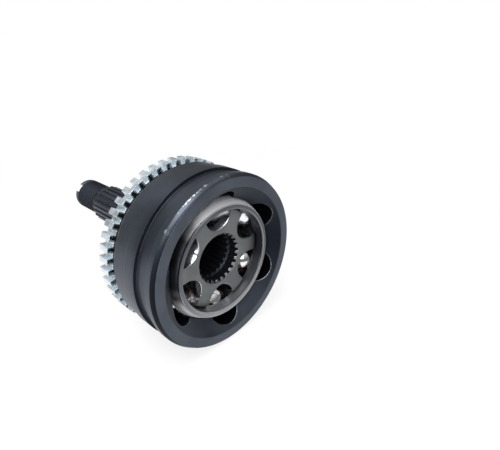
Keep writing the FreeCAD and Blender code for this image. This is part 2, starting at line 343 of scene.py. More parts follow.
class Shader:
    """Node tree of one material or world, with a single way to add a node to it."""

    def __init__(self, name: str, world: bpy.types.World | None = None) -> None:
        """Start with an empty tree.

        Args:
            name: name of the new material.
            world: a world to use in place of a new material.
        """
        self.owner = world or bpy.data.materials.new(name)
        self.owner.use_nodes = True
        self.tree = self.owner.node_tree
        self.tree.nodes.clear()

    def add(self, kind: str, settings: dict | None = None, inputs: dict | None = None,
            output: int | str = 0) -> Term:
        """Add a node.

        Args:
            kind: the node's type name after ShaderNode.
            settings: attributes that are set first.
            inputs: values or terms for its sockets, by name or index.
            output: which output to return.

        Returns:
            The output as a term, which is empty for a node without outputs.
        """
        node = self.tree.nodes.new("ShaderNode" + kind)
        for key, value in (settings or {}).items():
            setattr(node, key, value)
        for key, value in (inputs or {}).items():
            if isinstance(value, Term):
                self.tree.links.new(value.socket, node.inputs[key])
            else:
                node.inputs[key].default_value = value
        return Term(self, node.outputs[output] if node.outputs else None)

    def place(self) -> Term:
        """Object coordinates."""
        return self.add("TexCoord", output="Object")

    def noise(self, scale: float, detail: float = 3.0, stretch: Triple = (1.0, 1.0, 1.0)) -> Term:
        """Noise on object coordinates.

        Args:
            scale: size of the pattern, in repeats a metre.
            detail: octaves of finer noise.
            stretch: factors for x, y and z, larger for a finer pattern that way.

        Returns:
            The noise, from 0 to 1.
        """
        place = self.add("Mapping", {}, {"Vector": self.place(), "Scale": stretch})
        return self.add(
            "TexNoise", {}, {"Vector": place, "Scale": scale, "Detail": detail}, "Fac")

    def wear_and_shade(self) -> Term:
        """The piece's own values of rubbing, tone and painted light or shade. Each finish says what
        its values mean.
        """
        return self.add("Attribute", {"attribute_name": "wear_and_shade"}, output="Fac")

    def rays(self, *kinds: str) -> Term:
        """1 for rays of these kinds, such as "Camera", and 0 for all others."""
        terms = [self.add("LightPath", output=f"Is {kind} Ray") for kind in kinds]
        return reduce(Term.__add__, terms).ramp(0.0, 1.0)

    def blend(self, factor: "Term | float", first: "Term | Triple",
              second: "Term | Triple") -> Term:
        """Colour between two colours.

        Args:
            factor: 0 for the first and 1 for the second.
            first: a colour or a term.
            second: a colour or a term.

        Returns:
            The mixed colour.
        """
        return self.add(
            "Mix", {"data_type": "RGBA"},
            {"Factor": factor, "A": colour(first), "B": colour(second)}, 2)

    def bump(self, height: Term, depth: float) -> Term:
        """Normal bumped by a height, at a depth in metres."""
        return self.add("Bump", {}, {"Height": height, "Distance": depth, "Strength": 1.0})

    def finish(self, **sockets: "Term | float | tuple") -> Material:
        """Close the material with one Principled shader.

        Args:
            sockets: values of its sockets, with underscores for spaces.

        Returns:
            The finished material.
        """
        inputs = {key.replace("_", " "): value for key, value in sockets.items()}
        self.add_output(self.add("BsdfPrincipled", {}, inputs))
        return self.owner

    def add_output(self, surface: Term) -> None:
        """Link a surface to the output of the material or world."""
        kind = "World" if isinstance(self.owner, bpy.types.World) else "Material"
        self.add(f"Output{kind}", {}, {"Surface": surface})


def colour(value: "Term | Triple") -> "Term | tuple[float, ...]":
    """A colour with its alpha added, or a term as it is."""
    return value if isinstance(value, Term) else (*value, 1.0)


# --- Finishes --------------------------------------------------------------------------------

class Slot(Enum):
    """Material slots of the record."""

    PHOSPHATE = "phosphate"
    ZINC = "zinc"
    GROUND = "ground_steel"
    FORGED = "forged_steel"
    BALL = "ball_steel"


@dataclass(frozen=True)
class Phosphate:
    """Dark phosphate over turned steel. Values above 0 are rubbed bright, and values below 0 are
    painted shade.
    """

    dark: Triple = (0.042, 0.050, 0.065)
    light: Triple = (0.084, 0.097, 0.120)
    bare: Triple = (0.34, 0.35, 0.36)
    # Near-black colour of the painted shade.
    painted_shade: Triple = (0.004, 0.005, 0.009)
    roughness: float = 0.34
    metallic: float = 0.85
    cloud_scale: float = 55.0
    speck_scale: float = 900.0
    turning: Triple = (30.0, 3200.0, 30.0)  # stretch of the lines left by turning
    patches: Pair = (3.4, 0.92)  # gain and drop of the noise that breaks rubbing up
    rubbed_from: Pair = (0.32, 0.78)  # rubbing at which bare metal begins and is full
    shade_from: Pair = (0.05, 0.95)
    relief: float = 0.00002  # height of the bumps in metres

    def build(self) -> Material:
        """Cloudy coat with faint turning lines, bare metal where worn, and painted shade in
        corners, in recesses and on shaded sides.

        Returns:
            The material.
        """
        shader = Shader("phosphate_coat")
        cloud = shader.noise(self.cloud_scale, 4.0).ramp(0.3, 0.7)
        lines = shader.noise(1.0, 2.0, self.turning)
        specks = shader.noise(self.speck_scale, 2.0).ramp(0.35, 0.75)
        gain, drop = self.patches
        patches = shader.noise(self.speck_scale, 6.0) * gain - drop
        rubbed = (shader.wear_and_shade() * patches).ramp(*self.rubbed_from)
        # Values below 0 paint shade over the coat.
        shade_share = (shader.wear_and_shade() * -1.0).ramp(*self.shade_from)
        coat = shader.blend(cloud * 0.5 + lines * 0.5, self.dark, self.light)
        return shader.finish(
            Base_Color=shader.blend(shade_share, shader.blend(rubbed, coat, self.bare), self.painted_shade),
            Metallic=self.metallic + shade_share * 0.12,
            Roughness=self.roughness + cloud * 0.08 - rubbed * 0.06 + shade_share * 0.3,
            Normal=shader.bump(lines * 0.5 + specks * 0.5, self.relief))


@dataclass(frozen=True)
class ZincPlate:
    """Bright bluish zinc plating on pressed sheet."""

    pale: Triple = (0.82, 0.90, 0.94)
    shade: Triple = (0.58, 0.67, 0.73)
    roughness: float = 0.30
    metallic: float = 0.85
    spangle_scale: float = 260.0
    drawn_scale: float = 700.0
    drawn: Triple = (1.0, 0.15, 1.0)  # stretch of the lines left by the press
    relief: float = 0.00003

    def build(self) -> Material:
        """Plating with a fine spangle and drawn lines from the press.

        Returns:
            The material.
        """
        shader = Shader("zinc_plate")
        spangle = shader.noise(self.spangle_scale, 3.0).ramp(0.3, 0.7)
        drawn = shader.noise(self.drawn_scale, 2.0, self.drawn)
        return shader.finish(
            Base_Color=shader.blend(spangle * 0.6 + drawn * 0.4, self.shade, self.pale),
            Metallic=self.metallic,
            Roughness=self.roughness + spangle * 0.14,
            Normal=shader.bump(drawn, self.relief))


@dataclass(frozen=True)
class GroundSteel:
    """Hardened cage steel. A value of -1 is its satin outer skin, and up to 1 is ever more painted
    shade.
    """

    pale: Triple = (0.56, 0.57, 0.585)
    dark: Triple = (0.38, 0.385, 0.395)
    # Colour of the painted shade.
    shaded: Triple = (0.065, 0.072, 0.082)
    satin: Triple = (0.66, 0.67, 0.69)
    roughness: float = 0.33
    satin_roughness: float = 0.27  # added to the roughness
    satin_matt: float = 0.65  # taken from the metallic share
    cloud_scale: float = 90.0
    grinding: Triple = (60.0, 5200.0, 60.0)  # stretch of the grinding lines
    relief: float = 0.000015

    def build(self) -> Material:
        """Metal with fine grinding lines round the axis, painted shade where the value rises above
        0, and a satin skin.

        Returns:
            The material.
        """
        shader = Shader("ground_cage_steel")
        cloud = shader.noise(self.cloud_scale, 4.0).ramp(0.25, 0.75)
        grinding = shader.noise(1.0, 3.0, self.grinding)
        ground = shader.blend(cloud * 0.5 + grinding * 0.5, self.dark, self.pale)
        # Painted shade: the ground colour darkened towards the shaded colour as the value rises.
        tint = shader.blend(shader.wear_and_shade().ramp(0.0, 1.0), ground, self.shaded)
        satin = (shader.wear_and_shade() * -1.0).ramp(0.0, 1.0)
        return shader.finish(
            Base_Color=shader.blend(satin, tint, self.satin),
            Metallic=1.0 - satin * self.satin_matt,
            Roughness=(self.roughness + grinding * 0.10 + cloud * 0.05
                       + satin * self.satin_roughness),
            Normal=shader.bump(grinding, self.relief))


@dataclass(frozen=True)
class ForgedSteel:
    """Steel of the inner race. A value of 0 is turned, 1 a polished track and 2 darker inside the
    bore.
    """

    turned: Triple = (0.17, 0.18, 0.185)
    rubbed: Triple = (0.12, 0.127, 0.13)
    polished: Triple = (0.60, 0.61, 0.63)
    dark_bore: Triple = (0.016, 0.018, 0.023)
    roughness: float = 0.44
    polish: float = 0.30  # taken from the roughness where polished
    cloud_scale: float = 120.0
    grain_scale: float = 2600.0
    relief: float = 0.000012

    def build(self) -> Material:
        """One of the three finishes at each place, with a soft step between them.

        Returns:
            The material.
        """
        shader = Shader("inner_race_steel")
        zone = shader.wear_and_shade()
        shiny = zone.ramp(0.3, 0.8)
        dark = zone.ramp(1.2, 1.8)
        cloud = shader.noise(self.cloud_scale, 4.0).ramp(0.25, 0.75)
        grain = shader.noise(self.grain_scale, 2.0)
        face = shader.blend(cloud * 0.6, self.turned, self.rubbed)
        return shader.finish(
            Base_Color=shader.blend(dark, shader.blend(shiny, face, self.polished), self.dark_bore),
            Metallic=1.0 - dark * 0.3,
            Roughness=self.roughness - shiny * self.polish + dark * 0.24 + cloud * 0.06,
            Normal=shader.bump(grain, self.relief))


@dataclass(frozen=True)
class BallSteel:
    """Mirror-polished bearing balls with painted reddish reflections in patches."""

    tint: Triple = (0.86, 0.87, 0.88)
    # Colour of the painted reddish reflections.
    reddish_reflection: Triple = (0.42, 0.21, 0.15)
    roughness: float = 0.05
    reflection_scale: float = 140.0

    def build(self) -> Material:
        """Mirror metal, painted reddish and slightly dulled in patches that stand in for
        reflections.

        Returns:
            The material.
        """
        shader = Shader("ball_steel")
        # Patches of painted reddish reflection.
        painted_reflection = shader.noise(self.reflection_scale, 3.0).ramp(0.50, 0.66)
        return shader.finish(
            Base_Color=shader.blend(painted_reflection, self.tint, self.reddish_reflection), Metallic=1.0,
            Roughness=painted_reflection * 0.10 + self.roughness)


# --- Pieces ----------------------------------------------------------------------------------

@dataclass(frozen=True)
class BallSet:
    """The balls and the circles that they run on, in millimetres."""

    count: int = 6
    radius: float = 8.731
    pitch_radius: float = 30.0
    track_offset: float = 3.8
    joint_centre: float = 19.0
    clearance: float = 0.2
    around: int = 72
    along: int = 36

    def track(self, azimuth: Array, depth: Array, outer: bool) -> tuple[Array, Array]:
        """Radius at which a ray from the axis crosses the tube that a ball sweeps.

        A ball centre runs on a circle about the track centre, in a plane through the axis. A ray
        at angle d from that plane and distance h from the track centre meets the tube where, with
        w = radius^2, w = B -+ sqrt(B^2 - C), K = h^2 + circle^2 - tube^2,
        B = 2 circle^2 cos(d)^2 - K and C = K^2 - 4 circle^2 h^2.

        Args:
            azimuth: azimuths of the rays.
            depth: their depths.
            outer: True for a track of the outer race, False for one of the inner race.

        Returns:
            The crossing radius, and how far inside the tube the ray runs (negative outside it).
        """
        sign = 1 if outer else -1
        circle = math.hypot(self.pitch_radius, self.track_offset)
        tube = self.radius + self.clearance
        pitch = FULL_TURN / self.count
        off = (azimuth + pitch / 2) % pitch - pitch / 2
        height = depth - (self.joint_centre - sign * self.track_offset)
        k = height ** 2 + circle ** 2 - tube ** 2
        b = 2 * circle ** 2 * np.cos(off) ** 2 - k
        inside = b ** 2 - (k ** 2 - 4 * circle ** 2 * height ** 2)
        root = np.sqrt(np.maximum(inside, 0))
        return np.sqrt(np.maximum(b + sign * root, 1.0)), inside

    def build(self, material: Material) -> None:
        """Six spheres: centre + r (sin a cos b, cos a, sin a sin b) over the angles a and b.

        Args:
            material: their finish.
        """
        a = np.linspace(0, math.pi, self.along)[None, :]
        b = azimuths(self.around)
        unit = np.stack(np.broadcast_arrays(
            np.sin(a) * np.cos(b), np.cos(a) * np.ones_like(b), np.sin(a) * np.sin(b)), axis=-1)
        for number in range(1, self.count + 1):
            node = f"ball_{number}"
            low, high = (np.array(corner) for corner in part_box(node))
            centre, radius = (low + high) / 2, (high - low).max() / 2
            piece = solid_piece(f"polished_{node}", [Grid(centre + radius * unit)])
            fit(piece, material, f"{node}_body", (node,))


@dataclass(frozen=True)
class BellWearAndShade:
    """Where the bell is rubbed, oily and grimy, and how much.

    A band is an offset from an edge and a width, in millimetres of depth. A strength is its value
    everywhere and what one side adds to it.
    """

    fade: float = 0.1  # half the length over which painted shade begins
    margin: float = 0.3  # left out in front of an edge
    outer_fade: float = 0.6  # drop in radius over which a surface stops counting as outer
    handled_side: Pair = (-26.0, 22.0)  # where the mouth edge is rubbed most
    edge_band: Pair = (-0.45, 0.62)  # along the mouth chamfer
    edge_rub: Pair = (0.06, 0.86)
    lip_band: Pair = (0.05, 0.22)  # along the boot groove's front lip
    lip_rub: Pair = (0.40, 0.45)
    scuff: Pair = (-34.3, 9.9)  # side where that lip is scraped
    corner_width: float = 0.32  # width of the chamfer's outer corner
    nicks: tuple[Pair, ...] = (  # the side of each nick in that corner
        (-49.5, 0.91), (-48.5, 0.78), (-15.8, 0.65), (-3.2, 1.04), (1.0, 0.65))
    nick_rub: float = 2.6
    track_edge: float = 0.26  # reach of the rubbing along a track's edge
    track_fade: Pair = (14.0, 7.0)  # depths where that rubbing is none and full
    track_rub: float = 1.05
    # Painted shade inside the cavity: its strength all round and what the darker side adds.
    darker_cavity_side: Pair = (95.0, 60.0)
    wall_shade: Pair = (0.30, 0.45)
    track_shade: Pair = (0.62, -0.42)  # painted shade added in the tracks
    # Painted shade on the mouth chamfer, stronger on this side, and at the end of the rear cone.
    shaded_side: Pair = (-95.0, 55.0)
    chamfer_shade: Pair = (0.62, 0.20)
    groove_band: Pair = (-0.2, 0.30)  # painted shade along the boot groove's rear wall
    cone_end_shade: float = 0.85
    floor_shade: float = 0.20  # painted shade on the groove's floor and the rear cone
    land_shade: float = 0.16  # painted shade between the chamfer and the groove


@dataclass(frozen=True)
class Bell:
    """Outer race: the bell with its tracks, boot groove and bearing shoulder."""

    axis: JointAxis
    balls: BallSet
    wear_and_shade: BellWearAndShade = BellWearAndShade()
    radius: float = 45.0
    mouth_chamfer: Pair = (1.2, 2.5)  # drop and length
    mouth_bore: float = 39.0
    mouth_lip: float = 0.2  # taken off the bore's edge, across and along
    cone_depth: float = 7.2
    cone_blend: float = 0.25  # rounding of the crease where the cone ends
    track_blend: float = 0.22
    sphere: float = 33.6
    floor: float = 46.0
    track_end: float = 40.5
    groove: Pair = (5.9, 14.7)
    groove_slopes: Pair = (0.7, 0.35)  # lengths of the groove's front and rear wall
    groove_drop: float = 1.55
    step_depth: float = 22.0
    step_drop: float = 0.6
    rear_cone: Pair = (31.5, 35.6)
    rear_cone_drop: float = 2.0
    seat_radius: float = 41.95
    seat_end: float = 43.6
    back_chamfer: float = 1.0
    shoulder: Pair = (20.0, 57.0)  # radius and depth
    journal: Pair = (12.6, 66.0)
    around: int = 504
    fine_depth: float = 7.0  # rows lie closer in front of this depth
    rows: tuple[int, int, int] = (8, 46, 54)  # behind the tracks, along them and in front
    floor_rings: int = 6

    def cavity_radius(self, azimuth: Array, depth: Array) -> tuple[Array, Array]:
        """Wall of the cavity: the largest of lead-in cone, cage sphere and ball tracks.

        Args:
            azimuth: a column of azimuths.
            depth: a row of depths.

        Returns:
            The wall's radius, and its values: rubbed along the edges of the tracks, with painted
            shade elsewhere that is heavier on one side and in the tracks.
        """
        centre = self.balls.joint_centre
        cone_end = math.sqrt(self.sphere ** 2 - (centre - self.cone_depth) ** 2)
        slope = (self.mouth_bore - cone_end) / self.cone_depth
        cone = self.mouth_bore - slope * depth
        sphere = np.sqrt(np.maximum(self.sphere ** 2 - (depth - centre) ** 2, 1.0))
        wall = soft_max(cone, sphere, self.cone_blend)
        track, _ = self.balls.track(azimuth, depth, outer=True)
        track = np.where(depth > self.track_end, 0.0, track)
        edge = near(wall, track, self.wear_and_shade.track_edge) * smooth_step(depth, *self.wear_and_shade.track_fade)
        in_track = smooth_step(track - wall, 0.0, 0.5)
        # Painted shade over the cavity wall, heavier on one side and in the tracks, fading out at
        # the mouth.
        darker_side = facing(azimuth, self.wear_and_shade.darker_cavity_side)
        cavity_shade = raised(self.wear_and_shade.wall_shade, darker_side) + raised(self.wear_and_shade.track_shade, darker_side) * in_track
        cavity_shade = cavity_shade * smooth_step(wall, self.mouth_bore + 0.1, self.mouth_bore - 0.5)
        rubbed = edge * self.wear_and_shade.track_rub
        return soft_max(wall, track, self.track_blend), rubbed - cavity_shade * (1 - edge)

    def outside(self) -> Array:
        """Outline of the turned outside from the mouth face to the end of the journal.

        Returns:
            Radii and depths, a point a row.
        """
        drop, length = self.mouth_chamfer
        groove_floor = self.radius - self.groove_drop
        land = self.radius - self.step_drop
        seat, chamfer = self.seat_radius, self.back_chamfer
        shoulder_radius, shoulder_depth = self.shoulder
        journal_radius, journal_end = self.journal
        return rounded([
            (self.mouth_bore + self.mouth_lip, 0.0, 0.0),
            (self.radius - drop, 0.0, 0.30),
            (self.radius, length, 0.35),
            (self.radius, self.groove[0], 0.18),
            (groove_floor, self.groove[0] + self.groove_slopes[0], 0.35),
            (groove_floor, self.groove[1] - self.groove_slopes[1], 0.15),
            (self.radius, self.groove[1], 0.12),
            (self.radius, self.step_depth, 0.25),
            (land, self.step_depth + self.step_drop, 0.25),
            (land, self.rear_cone[0], 0.35),
            (land - self.rear_cone_drop / 2, sum(self.rear_cone) / 2, 0.12),
            (land - self.rear_cone_drop, self.rear_cone[1], 0.15),
            (seat, self.rear_cone[1], 0.08),
            (seat, self.seat_end, 0.3),
            (seat - chamfer, self.seat_end + chamfer, 0.5),
            (shoulder_radius, shoulder_depth - chamfer, 0.4),
            (shoulder_radius - chamfer, shoulder_depth, 0.4),
            (journal_radius, shoulder_depth, 0.8),
            (journal_radius, journal_end, 0.4),
            (0.0, journal_end, 0.0),
        ])

    def outside_wear_and_shade(self, azimuth: Array, outline: Array) -> Array:
        """Rubbed edges of the outside as values above 0, and painted shade in its grooves and
        corners and on the chamfer as values below.

        Args:
            azimuth: a column of azimuths.
            outline: radii and depths of its outline, a point a row.

        Returns:
            The values at every azimuth and outline point.
        """
        wear_and_shade = self.wear_and_shade
        radius, depth = outline[None, :, 0], outline[None, :, 1]
        chamfer_foot, length = self.radius - self.mouth_chamfer[0], self.mouth_chamfer[1]
        fade, margin = wear_and_shade.fade, wear_and_shade.margin
        outer = smooth_step(radius, chamfer_foot - wear_and_shade.outer_fade, chamfer_foot)
        edge = near(depth, length + wear_and_shade.edge_band[0], wear_and_shade.edge_band[1]) * outer
        handled = facing(azimuth, wear_and_shade.handled_side)
        lip = near(depth, self.groove[0] + wear_and_shade.lip_band[0], wear_and_shade.lip_band[1]) * outer
        corner = near(depth, length, wear_and_shade.corner_width) * outer
        rubbed = reduce(np.maximum, [
            edge * raised(wear_and_shade.edge_rub, handled),
            lip * raised(wear_and_shade.lip_rub, facing(azimuth, wear_and_shade.scuff)),
            *(wear_and_shade.nick_rub * corner * facing(azimuth, nick) for nick in wear_and_shade.nicks)])
        # Painted shade: along the groove's rear wall, at the end of the rear cone, on the chamfer
        # (stronger on its shaded side) and on the groove floor, rear cone and land.
        groove_wall = near(depth, self.groove[1] + wear_and_shade.groove_band[0], wear_and_shade.groove_band[1]) * outer
        middle = sum(self.rear_cone) / 2
        cone_end = (smooth_step(depth, middle - fade, middle + fade)
                    * (depth < self.rear_cone[1] + 2 * fade))
        shaded = facing(azimuth, wear_and_shade.shaded_side) * smooth_step(
            depth, length + margin + fade, length - fade)
        chamfer = smooth_step(depth, length + margin, length - fade) * outer * (depth > 2 * fade)
        groove = ((depth > self.groove[0] + self.groove_slopes[0])
                  * (depth < self.groove[1] - margin) * (radius > self.seat_radius))
        cone = (depth > self.rear_cone[0]) * (depth < self.rear_cone[1] - margin) * outer
        land = (depth < self.groove[0]) * outer * (1 - chamfer)
        painted_shade = reduce(np.maximum, [
            groove_wall,
            wear_and_shade.cone_end_shade * cone_end,
            raised(wear_and_shade.chamfer_shade, shaded) * chamfer * (1 - edge * handled),
            wear_and_shade.floor_shade * (groove + cone) + wear_and_shade.land_shade * land])
        return rubbed - painted_shade

    def build(self, material: Material) -> None:
        """Bell as one closed surface: cavity floor, cavity wall, mouth face and outside.

        Args:
            material: its finish.
        """
        azimuth = azimuths(self.around)
        behind, along, front = self.rows
        depth = np.concatenate([
            np.linspace(self.floor - 0.1, self.track_end + 0.05, behind),
            np.linspace(self.track_end, self.fine_depth, along),
            np.linspace(self.fine_depth - 0.1, self.mouth_lip, front),
        ])[None, :]
        wall, wall_wear_and_shade = self.cavity_radius(azimuth, depth)
        floor = wall[:, :1] * np.linspace(0, 0.99, self.floor_rings)[None, :]
        outline = self.outside()
        skin = np.broadcast_to(outline[:, 0], (self.around, len(outline)))
        radius = np.hstack([floor, wall, skin])
        depths = np.concatenate([np.full(self.floor_rings, self.floor), depth[0], outline[:, 1]])
        wear_and_shade = np.hstack([np.zeros_like(floor), wall_wear_and_shade, self.outside_wear_and_shade(azimuth, outline)])
        grid = Grid(self.axis.place(radius, azimuth, depths[None, :]), wear_and_shade=wear_and_shade)
        fit(solid_piece("bell", [grid]), material, "bell", ("outer_race",))


@dataclass(frozen=True)
class StubShaft:
    """Stub shaft behind the bell: hub spline, thread and slotted tip."""

    axis: JointAxis
    start: float = 65.5
    run_in: Triple = (1.0, 0.5, 1.5)  # drop, and where the spline's rise begins and ends
    spline_end: float = 117.5
    spline_radius: float = 11.9
    teeth: Teeth = Teeth(count=22, depth=1.05)
    tooth_steps: int = 24
    crest_rub: float = 0.30
    collar_rub: float = 0.25
    collar_width: float = 0.6
    chamfer: float = 1.0
    thread_radius: float = 10.0
    thread_depth: float = 0.8
    thread_pitch: float = 1.5
    thread_start: float = 119.7
    root_share: float = 0.12
    mouth_share: float = 0.84
    # Painted shade over the whole thread.
    thread_shade: float = 0.62
    thread_around: int = 120
    rows_per_turn: int = 12
    tip: float = 146.0
    tip_chamfer: float = 1.6
    slot_width: float = 5.0
    slot_depth: float = 5.0
    slot_azimuth: float = -48.0
    horn_rows: int = 44
    horn_columns: int = 61
    centre_hole: float = 2.2
    hole_end: float = 139.0

    @property
    def slot_floor(self) -> float:
        """Depth of the slot's floor."""
        return self.tip - self.slot_depth

    def spline(self) -> Grid:
        """Spline: radius = root + depth x tooth height, held under a chamfered envelope.

        Returns:
            The spline's closed surface.
        """
        azimuth = azimuths(self.teeth.count * self.tooth_steps)
        drop, rise_start, rise_end = self.run_in
        outline = rounded([
            (0.0, self.start, 0.0),
            (self.spline_radius - drop, self.start, 0.05),
            (self.spline_radius - drop, self.start + rise_start, 0.1),
            (self.spline_radius, self.start + rise_end, 0.2),
            (self.spline_radius, self.spline_end - self.chamfer, 0.3),
            (self.spline_radius - self.chamfer, self.spline_end, 0.15),
            (0.0, self.spline_end, 0.0),
        ])
        envelope, depth = outline[None, :, 0], outline[None, :, 1]
        height = self.teeth.height(azimuth)
        radius = np.minimum(envelope, self.spline_radius - self.teeth.depth * (1 - height))
        collar = near(depth, self.spline_end - 0.5 * self.chamfer, self.collar_width)
        wear_and_shade = self.crest_rub * height + self.collar_rub * collar
        return Grid(self.axis.place(radius, azimuth, depth), wear_and_shade=wear_and_shade)

    def thread_surface(self, azimuth: Array, depth: Array) -> Array:
        """Radius of the thread.

        The distance from a point to the nearest turn of the groove, in pitches, is
        ((depth - start) / pitch - azimuth / full turn), wrapped to -0.5...0.5. The groove is as
        deep as the thread within half its root share and runs out at half its mouth share.

        Args:
            azimuth: azimuths of the surface.
            depth: its depths.

        Returns:
            Its radius, held under the chamfer at the tip.
        """
        turns = (depth - self.thread_start) / self.thread_pitch - azimuth / FULL_TURN
        apart = (turns + 0.5) % 1.0 - 0.5
        groove = np.clip((self.mouth_share / 2 - np.abs(apart)) /
                         (self.mouth_share / 2 - self.root_share / 2), 0, 1)
        begun = depth - apart * self.thread_pitch >= self.thread_start
        thread = self.thread_radius - self.thread_depth * groove * begun
        chamfer = self.thread_radius - np.maximum(depth - (self.tip - self.tip_chamfer), 0)
        return np.minimum(thread, chamfer)

    def thread(self) -> Grid:
        """Threaded length up to the slot's floor, with the centre hole in its end.

        Returns:
            The thread's closed surface.
        """
        azimuth = azimuths(self.thread_around)
        row = self.thread_pitch / self.rows_per_turn
        steps = np.append(np.arange(self.spline_end - 0.5, self.slot_floor, row), self.slot_floor)
        side = self.thread_surface(azimuth, steps[None, :])
        hole = self.centre_hole * np.array([1.0, 1.0, 0.0])
        radius = np.hstack([np.zeros_like(azimuth), side, np.broadcast_to(hole, (len(azimuth), 3))])
        depth = np.concatenate([steps[:1], steps, [self.slot_floor, self.hole_end, self.hole_end]])
        points = self.axis.place(radius, azimuth, depth[None, :])
        # The whole thread carries painted shade.
        return Grid(points, wear_and_shade=np.full(points.shape[:2], -self.thread_shade))

    def horn(self, sign: int) -> Grid:
        """One of the two horns that the slot leaves at the tip.

        Its outside is the thread's surface between the azimuths where it meets the slot's wall,
        asin(half width / radius) from the wall's plane. The wall is the straight strip between
        those two edges, and each end closes on the line half way between outside and wall.

        Args:
            sign: 1 or -1 for the side of the slot.

        Returns:
            The horn's closed surface.
        """
        half = self.slot_width / 2
        middle = math.radians(self.slot_azimuth) + sign * math.pi / 2
        depth = np.linspace(self.slot_floor - 0.02, self.tip, self.horn_rows)[:, None]
        edges = []
        for side in (-1, 1):
            reach = np.full_like(depth, math.acos(half / self.thread_radius))
            for _ in range(6):  # the radius depends on the angle, so the angle settles
                reach = np.arccos(half / self.thread_surface(middle + side * reach, depth))
            edges.append(side * reach)
        share = np.linspace(0, 1, self.horn_columns)[None, :]
        off = edges[0] + share * (edges[1] - edges[0])
        outside = self.axis.place(self.thread_surface(middle + off, depth), middle + off, depth)
        wall = outside[:, :1] + share[..., None] * (outside[:, -1:] - outside[:, :1])
        loop = np.concatenate([outside, wall[:, ::-1]], axis=1)
        heart = (outside + wall) / 2
        heart = np.concatenate([heart, heart[:, ::-1]], axis=1)
        inward = np.linspace(0.25, 1, 4)[:, None, None]
        caps = [loop[end] + inward * (heart[end] - loop[end]) for end in (0, -1)]
        points = np.concatenate([caps[0][::-1], loop, caps[1]], axis=0)
        return Grid(points, wrap_rows=False, wrap_columns=True)

    def build(self, material: Material) -> None:
        """Spline, thread and tip, each a closed piece on the bell's body.

        Args:
            material: their finish.
        """
        parts = {
            "hub_spline": [self.spline()],
            "axle_thread": [self.thread()],
            "slotted_tip": [self.horn(1), self.horn(-1)],
        }
        for name, grids in parts.items():
            fit(solid_piece(name, grids), material, "bell")


@dataclass(frozen=True)
class SpeedRing:
    """Wheel speed ring: one strip of sheet pressed into square waves."""

    axis: JointAxis
    waves: int = 48
    seat_radius: float = 42.0
    tip_radius: float = 45.4
    sheet: float = 0.6
    front: float = 36.2
    width: float = 7.0
    tip_share: float = 0.50
    base_share: float = 0.60
    corner: float = 0.30
    inner_corner: float = 0.18
    corner_steps: int = 5
    edge: float = 0.10

    def wave(self, low: float, high: float, narrower: float,
             corner: float) -> tuple[Array, Array]:
        """One skin of the wave, carried all round.

        Args:
            low: radius of the skin's inner lands.
            high: radius of its outer lands.
            narrower: how much narrower than the outermost skin, as a share of the pitch.
            corner: reach of its rounded corners in millimetres.

        Returns:
            Radii and azimuths of the skin's points.
        """
        pitch = FULL_TURN * self.tip_radius / self.waves
        foot = pitch * (self.base_share - narrower) / 2
        crest = pitch * (self.tip_share - narrower) / 2
        line = rounded([
            (-pitch / 2, low, 0.0), (-foot, low, corner), (-crest, high, corner),
            (crest, high, corner), (foot, low, corner), (pitch / 2, low, 0.0),
        ], self.corner_steps)[:-1]
        starts = np.arange(self.waves)[:, None] * pitch
        run = (line[None, :, 0] + starts).ravel()
        return np.tile(line[:, 1], self.waves)[:, None], (run / self.tip_radius)[:, None]

    def build(self, material: Material) -> None:
        """Outer and inner skin of the sheet, joined by chamfered edges at front and back.

        Args:
            material: its finish.
        """
        wall = 2 * self.sheet * self.waves / (FULL_TURN * self.tip_radius)
        outer = self.wave(self.seat_radius + self.sheet, self.tip_radius, 0.0, self.corner)
        inner = self.wave(self.seat_radius, self.tip_radius - self.sheet, wall, self.inner_corner)
        front, back, step = self.front, self.front + self.width, self.edge / self.sheet
        inward = np.array([[0, 0, step, 1 - step, 1, 1, 1 - step, step]])
        depth = np.array([[front + self.edge, back - self.edge, back, back,
                           back - self.edge, front + self.edge, front, front]])
        radius, turn = (o + (i - o) * inward for o, i in zip(outer, inner))
        grid = Grid(self.axis.place(radius, turn, depth), wrap_columns=True)
        fit(solid_piece("pressed_ring", [grid]), material, "bell", ("abs_ring",))


